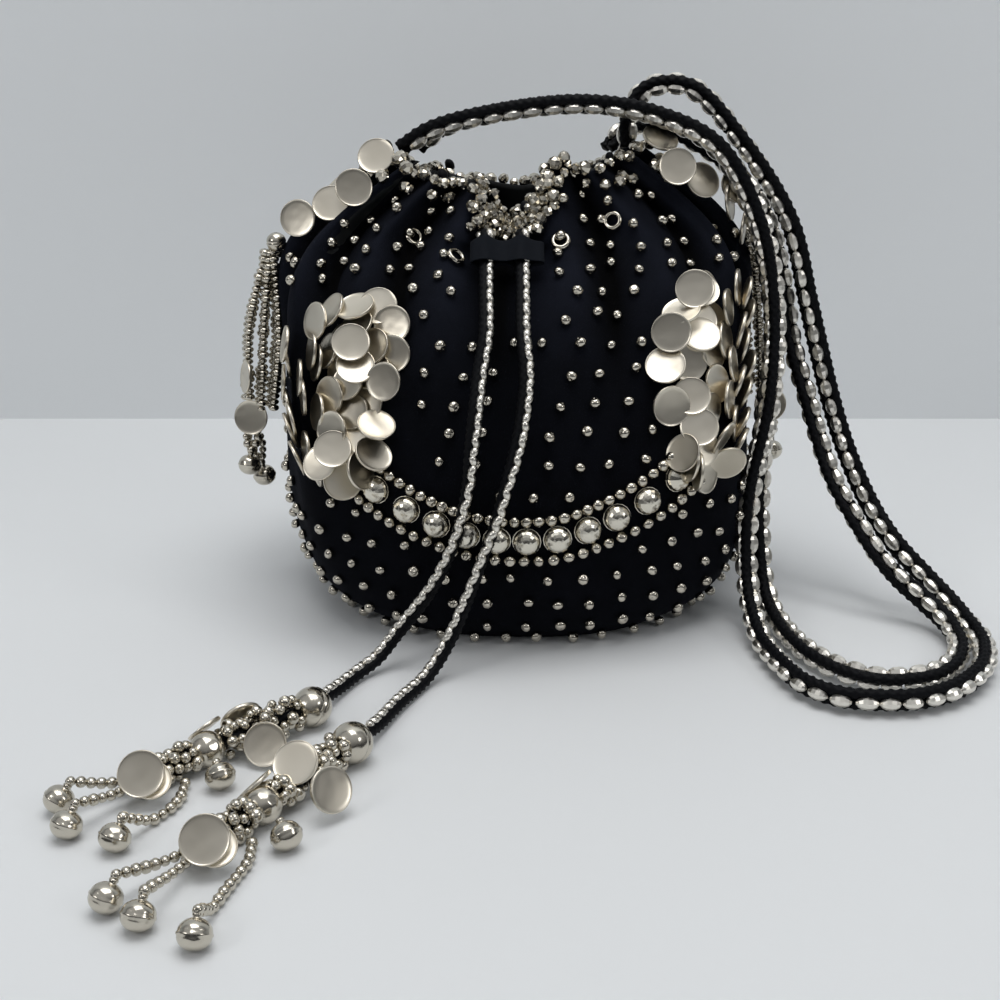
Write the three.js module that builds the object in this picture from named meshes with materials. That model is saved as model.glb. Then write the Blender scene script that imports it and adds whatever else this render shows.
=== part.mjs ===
import * as THREE from "three";

// Potli bag: a round gathered velvet pouch with a drawstring, two beaded rope straps,
// bead tassels and pressed metal trim. Millimetres, +Z up, front towards -Y,
// origin at the middle of the flat base.

// Pouch sizes
const POUCH_LEVELS = [
  { z: 0, wide: 64, deep: 62 },
  { z: 4, wide: 72, deep: 68 },
  { z: 9, wide: 78, deep: 71.5 },
  { z: 16, wide: 82.5, deep: 74.5 },
  { z: 28, wide: 86.5, deep: 77.5 },
  { z: 45, wide: 89, deep: 78.5 },
  { z: 62, wide: 89.5, deep: 78 },
  { z: 80, wide: 89, deep: 74 },
  { z: 95, wide: 88.5, deep: 67 },
  { z: 110, wide: 87.5, deep: 57 },
  { z: 118, wide: 86.5, deep: 50 },
  { z: 126, wide: 84.5, deep: 41 },
  { z: 135, wide: 80, deep: 30 },
  { z: 142, wide: 74, deep: 23 },
  { z: 150, wide: 64, deep: 19 },
  { z: 157, wide: 54, deep: 16.5 },
  { z: 164, wide: 43, deep: 15 },
];
const SECTION_POWER = 2.3;
const BASE_TURN_Z = 20;
const GATHER_Z = 130;
const RIM_SIDE_Z = 164;
const RIM_FRONT_Z = 150;
const VELVET_THICK = 2.2;
const LINING_THICK = 0.8;
const FIT_GAP = 0.3;
const AROUND = 40;

// Trim sizes
const DOME_RADIUS = 4.9;
const DOME_HIGH = 4.2;
const GARLAND_COUNT = 11;
const GARLAND_PITCH = 10.36;
const GARLAND_MID_X = 3.2;
const GARLAND_LOW_X = 0.8;
const GARLAND_LOW_Z = 44.9;
const GARLAND_BEND = 0.0063;
const RING_RADIUS = 3.4;
const RING_WIRE = 0.6;
const DISC_RADIUS = 6.7;
const DISC_THICK = 1.0;
const BALL_RADIUS = 6.5;
const MID_BALL_RADIUS = 5.6;
const BELL_RADIUS = 4.7;
const BELL_HIGH = 7.6;
const STRING_RADIUS = 1.4;

// Drawstring, slider and strap sizes
const DRAW_RADIUS = 2.1;
const SLIDER_MID = new THREE.Vector3(-5, -36.5, 136.5);
const SLIDER_AXIS = new THREE.Vector3(0, -0.755, -0.656).normalize();
const SLIDER_LONG = 10;
const SLIDER_THICK = 8.4;
const SLIDER_LEFT = -11.5;
const SLIDER_RIGHT = 14.5;
const TUNNEL_OFFSET = 6.3;
const TUNNEL_RADIUS = 3;
const STRAP_RADIUS = 4;

const DRAW_LEFT_ROUTE = [
  [-11.5, -24.3, 140.6], [-11.3, -28.6, 141.9], [-11.3, -36.5, 136.5],
  [-11.3, -49.33, 125.35], [-11.3, -62.92, 113.54], [-13.2, -70.5, 103.0],
  [-14.6, -77.5, 92.0], [-16.0, -82.0, 79.0], [-17.0, -84.0, 66.0],
  [-20.0, -85.0, 52.0], [-24.0, -84.5, 40.0], [-30.5, -84.0, 27.0],
  [-42.0, -86.0, 12.0], [-48.0, -90.0, 5.5], [-54.0, -96.0, 3.0],
  [-60.0, -108.0, 3.2], [-63.6, -118.0, 5.0],
];
const DRAW_RIGHT_ROUTE = [
  [1.5, -24.3, 140.6], [1.3, -28.6, 141.9], [1.3, -36.5, 136.5],
  [1.3, -49.33, 125.35], [1.3, -62.92, 113.54], [2.3, -71.5, 102.0],
  [1.0, -78.5, 89.0], [-1.5, -83.0, 77.0], [-4.5, -85.5, 66.0],
  [-7.0, -86.5, 56.0], [-12.5, -87.5, 40.0], [-17.0, -88.5, 27.0],
  [-21.5, -91.0, 16.0], [-26.5, -95.0, 7.5], [-31.0, -101.0, 3.2],
  [-38.7, -117.0, 3.0], [-44.0, -131.0, 3.4], [-47.4, -140.0, 5.0],
];
const STRAP_FRONT_ROUTE = [
  [-42.5, 0, 169], [-31, -2.5, 176], [-7, -6, 182.2], [25, -9, 185.4],
  [51, -11, 181.4], [73, -13, 170.5], [88.3, -16, 145], [95, -20, 115],
  [93.8, -30, 81.4], [86.5, -40, 45], [86, -51, 17], [87.2, -74, 5.6],
  [90.3, -92, 5.2], [95.5, -107.5, 5.2], [105, -116.3, 5.2], [117.6, -118.8, 5.2],
  [130, -118, 5.2], [142, -113, 5.2], [151.4, -105.5, 5.2], [159.5, -95, 5.2],
  [164.5, -82.5, 5.2], [166.5, -70.5, 5.2], [165, -60, 6.5], [161.5, -50, 9.8],
  [156, -41.5, 14.5], [144.5, -30.5, 26], [137, -18.5, 38], [129.2, -10, 55.7],
  [122.6, -5.5, 74.8], [115.8, -3.2, 97.8], [111, -3, 114], [102.1, -3, 142.6],
  [85, 1, 169], [63.7, 6, 190.3], [48, 8.5, 189.5], [41.5, 6.5, 179], [41.5, 4, 169],
];
const STRAP_BACK_ROUTE = [
  [-37, 9.3, 168.5], [-28, 7.2, 175.5], [-6.5, 3.2, 181.6], [25.6, 0.2, 184.8],
  [51.5, -1.8, 180.7], [73.3, -3.5, 169.5], [88.5, -6, 145], [97, -9.5, 112],
  [97.2, -14, 92], [93.8, -22, 68], [92.5, -33, 34], [94, -47, 11], [97.5, -67, 5.3],
  [102.5, -85, 5.2], [111.5, -98.5, 5.2], [121.5, -104.3, 5.2], [133.5, -103.6, 5.2],
  [142, -100, 5.2], [149.5, -93, 5.2], [154.8, -84, 5.2], [157.8, -73.5, 5.2],
  [156.8, -62, 7], [151.4, -53.5, 11], [143.5, -48, 17], [137, -43, 23.5],
  [128.8, -34, 35.5], [121.8, -23.8, 48], [117.4, -14.5, 61], [112.8, -8, 76.5],
  [107, -1, 96], [102.5, 4, 120], [94.5, 7, 145], [84, 10.5, 159], [68, 14.5, 170],
  [53, 17, 176.5], [42.5, 17, 175.5], [34.5, 12.3, 168],
];

// Tassel places
const TASSELS = [
  {
    name: "rear_tassel",
    ball: [-66.1, -126.0, 6.7],
    disc_a: { at: [-77.0, -150.0, 7.0], facing: [-0.25, -0.8, 0.55] },
    disc_b: { at: [-87.0, -135.0, 7.6], facing: [-0.5, 0.75, 0.45] },
    mid_ball: [-94.5, -150.5, 5.8],
    mid_bell: [-88.0, -163.5, 4.9],
    end_disc: { at: [-108.5, -172.0, 10.6], facing: [0.1, -0.6, 0.8] },
    bells: [[-131.5, -175.5, 4.9], [-125.5, -188.0, 4.9], [-110.5, -194.0, 4.9]],
    knot: [-108.0, -162.5, 3.4],
    third_string: [
      [-98.5, -163.5, 2.2], [-98.3, -171.0, 1.9], [-100.3, -177.2, 1.9],
      [-103.3, -181.8, 1.9], [-107.8, -188.0, 2.3],
    ],
  },
  {
    name: "front_tassel",
    ball: [-50.9, -148.3, 6.7],
    disc_a: { at: [-66.5, -164.5, 7.4], facing: [-0.2, -0.75, 0.62] },
    disc_b: { at: [-53.5, -178.0, 7.0], facing: [0.35, -0.75, 0.55] },
    mid_ball: [-72.5, -180.5, 5.8],
    mid_bell: [-64.0, -193.5, 4.9],
    end_disc: { at: [-83.5, -204.0, 10.6], facing: [0.1, -0.6, 0.8] },
    bells: [[-105.5, -220.0, 4.9], [-95.5, -227.0, 4.9], [-80.0, -234.0, 4.9]],
    knot: [-84.5, -194.0, 3.4],
    third_string: [
      [-73.5, -193.5, 2.2], [-73.1, -201.0, 1.9], [-74.7, -207.3, 1.9],
      [-76.8, -214.0, 1.9], [-78.4, -220.4, 1.9], [-79.4, -227.4, 2.3],
    ],
  },
];
const SIDE_TASSELS = [
  { name: "left_side", side: -1, y: -5 },
  { name: "right_side", side: 1, y: 14 },
];
const SIDE_BALL = { out: 89.5, z: 135.5, radius: 3.7 };
const SIDE_STRING_TOP = { out: 92.5, z: 130.5 };
const SIDE_STRING_LOW = { out: 101.5, z: 77.5 };
const SIDE_STRING_APART = 3.4;
const SIDE_DISC = { out: 103.0, z: 68.0 };
const SIDE_BELLS = [{ out: 104.5, z: 49.0, dy: -3.0 }, { out: 100.5, z: 42.0, dy: 5.0 }];

const velvet = new THREE.MeshStandardMaterial({ color: 0x14161e, roughness: 0.95 });
const satin = new THREE.MeshStandardMaterial({ color: 0x20242a, roughness: 0.6 });
const braid = new THREE.MeshStandardMaterial({ color: 0x15171d, roughness: 0.9 });
const silver = new THREE.MeshStandardMaterial({ color: 0xc9c6bd, roughness: 0.3, metalness: 1 });

const part = new THREE.Group();
part.name = "potli_bag";

function add(name, geometry, material) {
  const mesh = new THREE.Mesh(geometry, material);
  mesh.name = name;
  part.add(mesh);
  return mesh;
}

function vec(list) {
  return new THREE.Vector3(list[0], list[1], list[2]);
}

// Pouch wall: half-width and half-depth run smoothly from level to level, and above the
// gather the wall is squeezed so that the rim dips at the front and back.
function levelAt(z) {
  let i = 0;
  while (i < POUCH_LEVELS.length - 2 && z > POUCH_LEVELS[i + 1].z) i += 1;
  const low = POUCH_LEVELS[i];
  const high = POUCH_LEVELS[i + 1];
  const t = THREE.MathUtils.clamp((z - low.z) / (high.z - low.z), 0, 1);
  return {
    wide: THREE.MathUtils.lerp(low.wide, high.wide, t),
    deep: THREE.MathUtils.lerp(low.deep, high.deep, t),
  };
}

function wallPoint(angle, z, inset) {
  const level = levelAt(z);
  const c = Math.cos(angle);
  const s = Math.sin(angle);
  const x = (level.wide - inset) * Math.sign(c) * Math.abs(c) ** (2 / SECTION_POWER);
  const y = (level.deep - inset) * Math.sign(s) * Math.abs(s) ** (2 / SECTION_POWER);
  const rim = RIM_FRONT_Z + (RIM_SIDE_Z - RIM_FRONT_Z) * c * c;
  const lift = (rim - GATHER_Z) / (RIM_SIDE_Z - GATHER_Z);
  const high = z > GATHER_Z ? GATHER_Z + (z - GATHER_Z) * lift : z;
  return new THREE.Vector3(x, y, high);
}

// A point on the front wall at a chosen sideways place, with the way the wall faces.
function frontSpot(x, z) {
  const share = Math.min(1, Math.abs(x) / levelAt(z).wide) ** (SECTION_POWER / 2);
  const angle = -Math.acos(Math.sign(x) * share);
  const at = wallPoint(angle, z, 0);
  const across = wallPoint(angle + 0.03, z, 0).sub(wallPoint(angle - 0.03, z, 0));
  const up = wallPoint(angle, z + 1.5, 0).sub(wallPoint(angle, z - 1.5, 0));
  return { at, out: across.cross(up).normalize() };
}

// A closed cup: outer wall up to the rim, inner wall back down, and two flat base middles.
function cup(outerInset, innerInset) {
  const rings = [];
  for (const level of POUCH_LEVELS) rings.push({ z: level.z, inset: outerInset, floor: outerInset });
  for (const level of [...POUCH_LEVELS].reverse()) {
    rings.push({ z: level.z, inset: innerInset, floor: innerInset });
  }
  const positions = [];
  const index = [];
  for (const ring of rings) {
    for (let j = 0; j < AROUND; j += 1) {
      const p = wallPoint((j / AROUND) * 2 * Math.PI, ring.z, ring.inset);
      if (ring.z < BASE_TURN_Z) p.z = ring.floor + ring.z * (1 - ring.floor / BASE_TURN_Z);
      positions.push(p.x, p.y, p.z);
    }
  }
  for (let r = 0; r < rings.length - 1; r += 1) {
    for (let j = 0; j < AROUND; j += 1) {
      const a = r * AROUND + j;
      const b = r * AROUND + ((j + 1) % AROUND);
      if (r < POUCH_LEVELS.length) index.push(a, b, b + AROUND, a, b + AROUND, a + AROUND);
      else index.push(a, b, a + AROUND, b, b + AROUND, a + AROUND);
    }
  }
  const bottom = positions.length / 3;
  positions.push(0, 0, outerInset);
  positions.push(0, 0, innerInset);
  const last = (rings.length - 1) * AROUND;
  for (let j = 0; j < AROUND; j += 1) {
    const next = (j + 1) % AROUND;
    index.push(bottom, next, j);
    index.push(bottom + 1, last + j, last + next);
  }
  const geometry = new THREE.BufferGeometry();
  geometry.setAttribute("position", new THREE.Float32BufferAttribute(positions, 3));
  geometry.setIndex(index);
  geometry.computeVertexNormals();
  return geometry;
}

// A closed round tube along a smooth route, kept off the floor by its own radius.
function tube(route, radius, sides, perSpan) {
  const curve = new THREE.CatmullRomCurve3(route.map(vec), false, "centripetal");
  const steps = (route.length - 1) * perSpan;
  const centres = [];
  for (let i = 0; i <= steps; i += 1) {
    const p = curve.getPoint(i / steps);
    p.z = Math.max(p.z, radius + 0.2);
    centres.push(p);
  }
  const positions = [];
  const index = [];
  let side = new THREE.Vector3(0, 0, 1);
  centres.forEach((centre, i) => {
    const before = centres[Math.max(0, i - 1)];
    const after = centres[Math.min(steps, i + 1)];
    const along = after.clone().sub(before).normalize();
    side = side.clone().sub(along.clone().multiplyScalar(side.dot(along))).normalize();
    const other = along.clone().cross(side);
    for (let j = 0; j < sides; j += 1) {
      const turn = (j / sides) * 2 * Math.PI;
      const p = centre.clone();
      p.addScaledVector(side, radius * Math.cos(turn));
      p.addScaledVector(other, radius * Math.sin(turn));
      positions.push(p.x, p.y, p.z);
    }
  });
  for (let i = 0; i < steps; i += 1) {
    for (let j = 0; j < sides; j += 1) {
      const a = i * sides + j;
      const b = i * sides + ((j + 1) % sides);
      index.push(a, b, b + sides, a, b + sides, a + sides);
    }
  }
  const first = positions.length / 3;
  positions.push(centres[0].x, centres[0].y, centres[0].z);
  positions.push(centres[steps].x, centres[steps].y, centres[steps].z);
  for (let j = 0; j < sides; j += 1) {
    const next = (j + 1) % sides;
    index.push(first, next, j);
    index.push(first + 1, steps * sides + j, steps * sides + next);
  }
  const geometry = new THREE.BufferGeometry();
  geometry.setAttribute("position", new THREE.Float32BufferAttribute(positions, 3));
  geometry.setIndex(index);
  geometry.computeVertexNormals();
  return geometry;
}

// A turned shape stood along a direction at a place.
function turned(profile, segments, place, facing) {
  const geometry = new THREE.LatheGeometry(profile, segments);
  geometry.applyQuaternion(
    new THREE.Quaternion().setFromUnitVectors(new THREE.Vector3(0, 1, 0), facing.clone().normalize()),
  );
  geometry.translate(place.x, place.y, place.z);
  return geometry;
}

function discProfile(radius, thick) {
  return [
    new THREE.Vector2(0, -thick / 2),
    new THREE.Vector2(radius, -thick / 2),
    new THREE.Vector2(radius, thick / 2),
    new THREE.Vector2(0, thick / 2),
  ];
}

function ballProfile(radius, high, steps) {
  const profile = [];
  for (let i = 0; i <= steps; i += 1) {
    const turn = (i / steps) * Math.PI - Math.PI / 2;
    const r = i === 0 || i === steps ? 0 : radius * Math.cos(turn);
    profile.push(new THREE.Vector2(r, high * Math.sin(turn)));
  }
  return profile;
}

// Velvet pouch and its lining
add("velvet_pouch", cup(0, VELVET_THICK), velvet);
const liningStart = VELVET_THICK + FIT_GAP;
add("pouch_lining", cup(liningStart, liningStart + LINING_THICK), satin);

// Garland of pressed domes across the front
const domeProfile = [new THREE.Vector2(0, 0), new THREE.Vector2(DOME_RADIUS, 0)];
for (let i = 1; i <= 4; i += 1) {
  const turn = (i / 4) * Math.PI / 2;
  const r = i === 4 ? 0 : DOME_RADIUS * Math.cos(turn);
  domeProfile.push(new THREE.Vector2(r, DOME_HIGH * Math.sin(turn)));
}
for (let i = 0; i < GARLAND_COUNT; i += 1) {
  const x = GARLAND_MID_X + GARLAND_PITCH * (i - (GARLAND_COUNT - 1) / 2);
  const z = GARLAND_LOW_Z + GARLAND_BEND * (x - GARLAND_LOW_X) ** 2;
  const spot = frontSpot(x, z);
  const place = spot.at.addScaledVector(spot.out, FIT_GAP);
  add(`garland_dome_${i + 1}`, turned(domeProfile, 14, place, spot.out), silver);
}

// Wire rings that lead the drawstring round the gathered neck
const ringSpots = [[-21.5, 138], [15.5, 142], [34.5, 146], [-38, 142]];
ringSpots.forEach(([x, z], i) => {
  const spot = frontSpot(x, z);
  for (const back of i < 2 ? [false, true] : [false]) {
    const ring = new THREE.TorusGeometry(RING_RADIUS, RING_WIRE, 6, 16);
    const out = spot.out.clone();
    ring.applyQuaternion(new THREE.Quaternion().setFromUnitVectors(new THREE.Vector3(0, 0, 1), out));
    const place = spot.at.clone().addScaledVector(out, RING_WIRE + 1.2);
    ring.translate(place.x, place.y, place.z);
    if (back) ring.rotateZ(Math.PI);
    add(`neck_ring_${back ? "back" : "front"}_${i + 1}`, ring, silver);
  }
});

// Folded cloth slider with two tunnels for the drawstring ends
const outline = new THREE.Shape();
const bulge = SLIDER_THICK / 2;
outline.moveTo(SLIDER_LEFT + bulge * 0.5, -bulge);
outline.lineTo(SLIDER_RIGHT - bulge * 0.5, -bulge);
outline.lineTo(SLIDER_RIGHT, -bulge * 0.5);
outline.lineTo(SLIDER_RIGHT, bulge * 0.5);
outline.lineTo(SLIDER_RIGHT - bulge * 0.5, bulge);
outline.lineTo(SLIDER_LEFT + bulge * 0.5, bulge);
outline.lineTo(SLIDER_LEFT, bulge * 0.5);
outline.lineTo(SLIDER_LEFT, -bulge * 0.5);
for (const side of [-1, 1]) {
  const tunnel = new THREE.Path();
  tunnel.absarc(side * TUNNEL_OFFSET, 0, TUNNEL_RADIUS, 0, 2 * Math.PI, true);
  outline.holes.push(tunnel);
}
const slider = new THREE.ExtrudeGeometry(outline, {
  depth: SLIDER_LONG, bevelEnabled: false, steps: 1, curveSegments: 14,
});
slider.translate(0, 0, -SLIDER_LONG / 2);
const sliderTurn = new THREE.Matrix4().makeBasis(
  new THREE.Vector3(1, 0, 0),
  SLIDER_AXIS.clone().cross(new THREE.Vector3(1, 0, 0)),
  SLIDER_AXIS,
);
slider.applyMatrix4(sliderTurn);
slider.translate(SLIDER_MID.x, SLIDER_MID.y, SLIDER_MID.z);
add("cord_slider", slider, satin);

// Drawstring ends and the two strap ropes
add("drawstring_left", tube(DRAW_LEFT_ROUTE, DRAW_RADIUS, 8, 2), braid);
add("drawstring_right", tube(DRAW_RIGHT_ROUTE, DRAW_RADIUS, 8, 2), braid);
add("strap_front", tube(STRAP_FRONT_ROUTE, STRAP_RADIUS, 10, 2), braid);
add("strap_back", tube(STRAP_BACK_ROUTE, STRAP_RADIUS, 10, 2), braid);

// Tassels on the drawstring ends, lying on the floor
const up = new THREE.Vector3(0, 0, 1);
for (const tassel of TASSELS) {
  const piece = (label) => `${tassel.name}_${label}`;
  const disc = discProfile(DISC_RADIUS, DISC_THICK);
  add(piece("ball"), turned(ballProfile(BALL_RADIUS, BALL_RADIUS, 10), 16, vec(tassel.ball), up), silver);
  for (const label of ["disc_a", "disc_b", "end_disc"]) {
    const spot = tassel[label];
    add(piece(label), turned(disc, 18, vec(spot.at), vec(spot.facing)), silver);
  }
  const mid = ballProfile(MID_BALL_RADIUS, MID_BALL_RADIUS, 10);
  add(piece("mid_ball"), turned(mid, 16, vec(tassel.mid_ball), up), silver);
  const bell = ballProfile(BELL_RADIUS, BELL_HIGH / 2, 8);
  add(piece("mid_bell"), turned(bell, 14, vec(tassel.mid_bell), up), silver);
  tassel.bells.forEach((place, i) => {
    const end = vec(place);
    const start = vec(tassel.knot);
    const way = end.clone().sub(start);
    const reach = way.length();
    way.normalize();
    const fan = new THREE.Vector3(-way.y, way.x, 0).multiplyScalar((i - 1) * 0.4);
    const from = start.clone().addScaledVector(way, 6.5).add(fan);
    const to = start.clone().addScaledVector(way, reach - BELL_RADIUS - 1.2);
    const fromKnot = [from.toArray(), from.clone().lerp(to, 0.5).toArray(), to.toArray()];
    const route = i === 2 ? tassel.third_string : fromKnot;
    add(piece(`string_${i + 1}`), tube(route, STRING_RADIUS, 8, 2), silver);
    add(piece(`bell_${i + 1}`), turned(bell, 14, end, up), silver);
  });
}

// Tassels hung from the shoulders
for (const { name, side, y } of SIDE_TASSELS) {
  const at = (spot, dy) => new THREE.Vector3(side * spot.out, y + dy, spot.z);
  const ball = ballProfile(SIDE_BALL.radius, SIDE_BALL.radius, 8);
  add(`${name}_ball`, turned(ball, 12, at(SIDE_BALL, 0), up), silver);
  [-1, 1].forEach((shift, i) => {
    const top = at(SIDE_STRING_TOP, shift * SIDE_STRING_APART / 2);
    const low = at(SIDE_STRING_LOW, shift * SIDE_STRING_APART / 2);
    const middle = top.clone().lerp(low, 0.5);
    middle.x += side * 1.2;
    const route = [top.toArray(), middle.toArray(), low.toArray()];
    add(`${name}_string_${i + 1}`, tube(route, STRING_RADIUS, 8, 3), silver);
  });
  const facing = new THREE.Vector3(side * 0.25, -1, 0.1);
  add(`${name}_disc`, turned(discProfile(DISC_RADIUS, DISC_THICK), 18, at(SIDE_DISC, 0), facing), silver);
  SIDE_BELLS.forEach((spot, i) => {
    const bell = ballProfile(BELL_RADIUS, BELL_HIGH / 2, 8);
    add(`${name}_bell_${i + 1}`, turned(bell, 14, at(spot, spot.dy), up), silver);
  });
}

export default part;
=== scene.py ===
import math

import bpy
import numpy as np
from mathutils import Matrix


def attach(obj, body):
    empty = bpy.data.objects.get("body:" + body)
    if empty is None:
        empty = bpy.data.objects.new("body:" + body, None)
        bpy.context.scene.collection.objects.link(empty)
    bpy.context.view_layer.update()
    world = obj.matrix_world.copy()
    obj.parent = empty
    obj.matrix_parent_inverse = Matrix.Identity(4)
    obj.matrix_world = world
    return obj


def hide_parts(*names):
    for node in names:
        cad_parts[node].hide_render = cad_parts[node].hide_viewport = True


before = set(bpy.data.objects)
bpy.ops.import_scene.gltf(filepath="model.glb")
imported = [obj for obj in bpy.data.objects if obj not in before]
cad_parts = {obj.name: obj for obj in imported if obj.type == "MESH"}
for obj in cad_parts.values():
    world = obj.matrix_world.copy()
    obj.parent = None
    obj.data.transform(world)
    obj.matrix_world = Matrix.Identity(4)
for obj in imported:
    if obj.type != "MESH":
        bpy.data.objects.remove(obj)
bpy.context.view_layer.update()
scene = bpy.context.scene
rng = np.random.default_rng(11)

# Camera: a little above the bag, looking down at it from the front.
camera_data = bpy.data.cameras.new("camera")
camera_data.lens = 46.8
camera_data.sensor_width = 36.0
camera = bpy.data.objects.new("camera", camera_data)
camera.location = (-0.006, -0.494, 0.211)
camera.rotation_euler = (math.radians(70), 0, 0)
scene.collection.objects.link(camera)
scene.camera = camera

# Strap: two ropes that run side by side from rim to rim. Each is two braided black cotton
# cords laid together, with a row of oval plated beads sewn into the groove on each side.
# The ends are sewn to the rim, and the slack lies in a loop beside the bag.
STRAP_ROUTES = {
    "front": [
        (-0.0425, 0, 0.169), (-0.031, -0.0025, 0.176), (-0.007, -0.006, 0.1822),
        (0.025, -0.009, 0.1854), (0.051, -0.011, 0.1814), (0.073, -0.013, 0.1705),
        (0.0883, -0.016, 0.145), (0.095, -0.02, 0.115), (0.0938, -0.03, 0.0814),
        (0.0865, -0.04, 0.045), (0.086, -0.051, 0.017), (0.0872, -0.074, 0.0056),
        (0.0903, -0.092, 0.0052), (0.0955, -0.1075, 0.0052), (0.105, -0.1163, 0.0052),
        (0.1176, -0.1188, 0.0052), (0.13, -0.118, 0.0052), (0.142, -0.113, 0.0052),
        (0.1514, -0.1055, 0.0052), (0.1595, -0.095, 0.0052), (0.1645, -0.0825, 0.0052),
        (0.1665, -0.0705, 0.0052), (0.165, -0.06, 0.0065), (0.1615, -0.05, 0.0098),
        (0.156, -0.0415, 0.0145), (0.1445, -0.0305, 0.026), (0.137, -0.0185, 0.038),
        (0.1292, -0.01, 0.0557), (0.1226, -0.0055, 0.0748), (0.1158, -0.0032, 0.0978),
        (0.111, -0.003, 0.114), (0.1021, -0.003, 0.1426), (0.085, 0.001, 0.169),
        (0.0637, 0.006, 0.1903), (0.048, 0.0085, 0.1895), (0.0415, 0.0065, 0.179),
        (0.0415, 0.004, 0.169),
    ],
    "back": [
        (-0.037, 0.0093, 0.1685), (-0.028, 0.0072, 0.1755), (-0.0065, 0.0032, 0.1816),
        (0.0256, 0.0002, 0.1848), (0.0515, -0.0018, 0.1807), (0.0733, -0.0035, 0.1695),
        (0.0885, -0.006, 0.145), (0.097, -0.0095, 0.112), (0.0972, -0.014, 0.092),
        (0.0938, -0.022, 0.068), (0.0925, -0.033, 0.034), (0.094, -0.047, 0.011),
        (0.0975, -0.067, 0.0053), (0.1025, -0.085, 0.0052), (0.1115, -0.0985, 0.0052),
        (0.1215, -0.1043, 0.0052), (0.1335, -0.1036, 0.0052), (0.142, -0.1, 0.0052),
        (0.1495, -0.093, 0.0052), (0.1548, -0.084, 0.0052), (0.1578, -0.0735, 0.0052),
        (0.1568, -0.062, 0.007), (0.1514, -0.0535, 0.011), (0.1435, -0.048, 0.017),
        (0.137, -0.043, 0.0235), (0.1288, -0.034, 0.0355), (0.1218, -0.0238, 0.048),
        (0.1174, -0.0145, 0.061), (0.1128, -0.008, 0.0765), (0.107, -0.001, 0.096),
        (0.1025, 0.004, 0.12), (0.0945, 0.007, 0.145), (0.084, 0.0105, 0.159),
        (0.068, 0.0145, 0.17), (0.053, 0.017, 0.1765), (0.0425, 0.017, 0.1755),
        (0.0345, 0.0123, 0.168),
    ],
}
STRAP_TWISTS = {
    "front": [(0, -35), (0.15, -35), (0.25, 5), (0.40, 5), (0.47, -53), (0.56, -53), (0.58, -20),
              (0.60, 15), (0.63, 50), (0.66, 75), (0.80, 75), (0.86, 55), (0.92, 35), (1, 30)],
    "back": [(0, -35), (0.15, -35), (0.26, 5), (0.55, 3), (0.58, 20), (0.61, 40), (0.643, 100),
             (0.676, 140), (0.80, 148), (1, 150)],
}
STRAP_CORD_RADIUS = 0.0018
STRAP_CORD_APART = 0.0020
STRAP_BEAD_LONG = 0.0072
STRAP_BEAD_RADIUS = 0.0022
STRAP_BEAD_OUT = 0.0022
STRAP_BEAD_PITCH = 0.0074
STRAP_FLOOR = 0.0052
VIEWING_PLACE = np.array([-0.006, -0.494, 0.211])


def colour(code):
    """Linear colour of an sRGB hex code: each channel by the standard sRGB curve."""
    parts = [int(code[i:i + 2], 16) / 255 for i in (1, 3, 5)]
    return [c / 12.92 if c <= 0.04045 else ((c + 0.055) / 1.055) ** 2.4 for c in parts] + [1.0]


def finish_of(name, code, **sockets):
    """A Principled material of one colour; socket names are given with _ for a space."""
    material = bpy.data.materials.new(name)
    material.use_nodes = True
    principled = material.node_tree.nodes["Principled BSDF"]
    principled.inputs["Base Color"].default_value = colour(code)
    for socket, value in sockets.items():
        principled.inputs[socket.replace("_", " ")].default_value = value
    return material


def add_node(tree, kind, sockets=None, links=None, **settings):
    """One node with its settings, its socket values, and links given as socket: output."""
    made = tree.nodes.new(kind)
    for key, value in settings.items():
        setattr(made, key, value)
    for key, value in (sockets or {}).items():
        made.inputs[key].default_value = value
    for key, output in (links or {}).items():
        tree.links.new(output, made.inputs[key])
    return made


def noise_on(tree, scale, detail):
    """Cloudy noise that is fixed to the piece."""
    coords = add_node(tree, "ShaderNodeTexCoord")
    settings = {"Scale": scale, "Detail": detail}
    return add_node(tree, "ShaderNodeTexNoise", settings, {"Vector": coords.outputs["Object"]})


def dented(tree, scale, detail, strength, depth):
    """Shallow dents over a whole finish."""
    settings = {"Strength": strength, "Distance": depth}
    height = {"Height": noise_on(tree, scale, detail).outputs["Fac"]}
    bump = add_node(tree, "ShaderNodeBump", settings, height)
    tree.links.new(bump.outputs["Normal"], tree.nodes["Principled BSDF"].inputs["Normal"])


def solid(name, verts, faces, material, smooth=True):
    """A mesh object at the origin from corner places and lists of corner numbers."""
    mesh = bpy.data.meshes.new(name)
    mesh.from_pydata(np.asarray(verts).tolist(), [], faces)
    mesh.polygons.foreach_set("use_smooth", np.full(len(mesh.polygons), smooth))
    mesh.materials.append(material)
    piece = bpy.data.objects.new(name, mesh)
    scene.collection.objects.link(piece)
    return piece


def distances(points):
    """Distance along a line at each of its points."""
    return np.append(0, np.cumsum(np.linalg.norm(np.diff(points, axis=0), axis=1)))


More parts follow.
